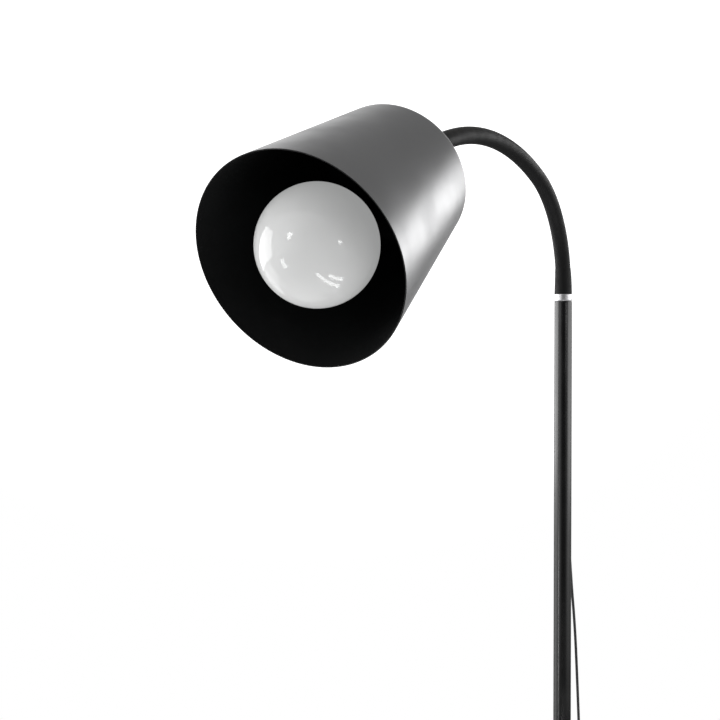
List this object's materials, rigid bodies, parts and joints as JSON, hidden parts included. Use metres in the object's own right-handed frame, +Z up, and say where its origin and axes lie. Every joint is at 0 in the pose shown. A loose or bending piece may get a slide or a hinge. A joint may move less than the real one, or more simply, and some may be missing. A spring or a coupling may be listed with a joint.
{
  "type": "floor lamp",
  "caption": "Reading floor lamp: round weighted base, slim black pole, bendable gooseneck, long conical metallic shade with an opal globe bulb, cord with a foot switch and plug.",
  "frame": {"origin": "middle of the base's underside, on the pole's axis, on the floor", "axes": "+Z up along the pole, -Y towards the shade's side, +X to the right seen from the shade's side's back"},
  "size_m": [0.27, 0.8422, 1.4563],
  "materials": {
    "base_paint": "satin black",
    "base_iron": "rough cast",
    "base_pad": "matt",
    "steel": "plain",
    "pole_paint": "satin black",
    "ring_chrome": "polished",
    "neck_sleeve": "matt",
    "cord_black": "satin",
    "shade_metal": "satin dark grey outside, matt black inside",
    "holder_plastic": "matt",
    "holder_white": "gloss",
    "brass": "plain",
    "bulb_opal": "opal white, gloss",
    "bulb_plastic": "gloss",
    "bulb_cap": "plain",
    "switch_plastic": "fine texture",
    "plug_plastic": "satin",
    "pin_metal": "nickel plated"
  },
  "bodies": {
    "stand": {"base_pad": "base_pad", "base_plate": "steel", "base_weight": "base_iron", "base_cover": "base_paint", "base_rod": "steel", "base_fasteners": "steel", "pole_foot": "base_paint", "pole_plug": "steel", "pole_lower": "pole_paint", "pole_middle": "pole_paint", "pole_upper": "pole_paint", "pole_couplers": "steel", "pole_insert": "steel", "pole_lead": "cord_black", "collar_ring": "ring_chrome", "cord_bushing": "cord_black", "neck_ferrule_lower": "steel", "neck_sleeve": "neck_sleeve", "neck_lead": "cord_black", "cord_drop": "cord_black", "cord_tail": "cord_black", "cord_coil": "cord_black", "cord_end": "cord_black", "coil_tie": "switch_plastic", "switch_base": "switch_plastic", "switch_cover": "switch_plastic", "switch_mechanism": "switch_plastic", "switch_screws": "steel", "switch_spring": "steel", "plug_body": "plug_plastic", "plug_pins": "pin_metal"},
    "neck_01": {"neck_link_01": "steel"},
    "neck_02": {"neck_link_02": "steel"},
    "neck_03": {"neck_link_03": "steel"},
    "neck_04": {"neck_link_04": "steel"},
    "neck_05": {"neck_link_05": "steel"},
    "neck_06": {"neck_link_06": "steel"},
    "neck_07": {"neck_link_07": "steel"},
    "neck_08": {"neck_link_08": "steel"},
    "neck_09": {"neck_link_09": "steel"},
    "neck_10": {"neck_link_10": "steel"},
    "neck_11": {"neck_link_11": "steel"},
    "neck_12": {"neck_link_12": "steel"},
    "head": {"neck_ferrule_upper": "steel", "shade_shell": "shade_metal", "shade_washers": "steel", "shade_lock_nut": "steel", "holder_spacer": "steel", "holder_cap": "holder_plastic", "holder_shell": "holder_plastic", "holder_core": "holder_white", "holder_screws": "brass", "holder_screw_shell": "brass", "holder_contact": "brass", "bulb_contact": "brass", "bulb_insulator": "holder_plastic", "bulb_cap": "bulb_cap", "bulb_collar": "bulb_plastic", "bulb_globe": "bulb_opal"},
    "button": {"foot_button": "switch_plastic"}
  },
  "joints": [
    {"name": "neck_bend", "type": "hinge", "parent": "stand", "child": "neck_01", "pos_m": [0, 0, 1.317], "axis": [1, 0, 0.0003], "range_deg": [-8.12, 4.48], "deforming": ["neck_sleeve", "neck_lead"]},
    {"name": "neck_bend_2", "type": "hinge", "parent": "neck_01", "child": "neck_02", "pos_m": [0, -0.00459, 1.34918], "axis": [1, 0, 0.0003], "range_deg": [-16.27, 8.99]},
    {"name": "neck_sway", "type": "hinge", "parent": "neck_02", "child": "neck_03", "pos_m": [0, -0.0113, 1.36399], "axis": [0, 0.9109, 0.4127], "range_deg": [-15, 15]},
    {"name": "neck_bend_3", "type": "hinge", "parent": "neck_03", "child": "neck_04", "pos_m": [0, -0.01801, 1.37879], "axis": [1, 0, 0.0003], "range_deg": [-16.27, 8.98]},
    {"name": "neck_bend_4", "type": "hinge", "parent": "neck_04", "child": "neck_05", "pos_m": [0, -0.03918, 1.40346], "axis": [1, 0, 0.0003], "range_deg": [-16.27, 8.99]},
    {"name": "neck_bend_5", "type": "hinge", "parent": "neck_05", "child": "neck_06", "pos_m": [0, -0.0664, 1.42122], "axis": [1, 0, 0.0003], "range_deg": [-13.24, 7.32]},
    {"name": "neck_sway_2", "type": "hinge", "parent": "neck_06", "child": "neck_07", "pos_m": [0, -0.09097, 1.43012], "axis": [0, 0.3404, 0.9403], "range_deg": [-15.01, 15.01]},
    {"name": "neck_bend_6", "type": "hinge", "parent": "neck_07", "child": "neck_08", "pos_m": [0, -0.11555, 1.43902], "axis": [1, 0, 0.0003], "range_deg": [-10.22, 5.65]},
    {"name": "neck_bend_7", "type": "hinge", "parent": "neck_08", "child": "neck_09", "pos_m": [0, -0.16707, 1.44782], "axis": [1, 0, 0.0003], "range_deg": [-10.22, 5.65]},
    {"name": "neck_bend_8", "type": "hinge", "parent": "neck_09", "child": "neck_10", "pos_m": [0, -0.21934, 1.44737], "axis": [1, 0, 0.0003], "range_deg": [-10.22, 5.65]},
    {"name": "neck_sway_3", "type": "hinge", "parent": "neck_10", "child": "neck_11", "pos_m": [0, -0.24502, 1.44251], "axis": [0, -0.1857, 0.9826], "range_deg": [-15.01, 15.01]},
    {"name": "neck_bend_9", "type": "hinge", "parent": "neck_11", "child": "neck_12", "pos_m": [0, -0.2707, 1.43766], "axis": [1, 0, 0.0003], "range_deg": [-10.22, 5.65]},
    {"name": "neck_bend_10", "type": "hinge", "parent": "neck_12", "child": "head", "pos_m": [0, -0.31953, 1.41902], "axis": [1, 0, 0.0003], "range_deg": [-5.12, 2.83]},
    {"name": "button_press", "type": "slide", "parent": "stand", "child": "button", "axis": [0, 0, -1], "range_m": [0, 0.003], "stiffness_N_per_m": 400, "springref_m": -0.002}
  ],
  "couplings": [
    {"joint": "neck_bend_2", "follows": "neck_bend", "ratio": 2.0001},
    {"joint": "neck_bend_3", "follows": "neck_bend", "ratio": 1.9998},
    {"joint": "neck_bend_4", "follows": "neck_bend", "ratio": 2.0004},
    {"joint": "neck_bend_5", "follows": "neck_bend", "ratio": 1.6275},
    {"joint": "neck_sway_2", "follows": "neck_sway", "ratio": 1},
    {"joint": "neck_bend_6", "follows": "neck_bend", "ratio": 1.2554},
    {"joint": "neck_bend_7", "follows": "neck_bend", "ratio": 1.2554},
    {"joint": "neck_bend_8", "follows": "neck_bend", "ratio": 1.2556},
    {"joint": "neck_sway_3", "follows": "neck_sway", "ratio": 1},
    {"joint": "neck_bend_9", "follows": "neck_bend", "ratio": 1.2555},
    {"joint": "neck_bend_10", "follows": "neck_bend", "ratio": 0.62769}
  ]
}
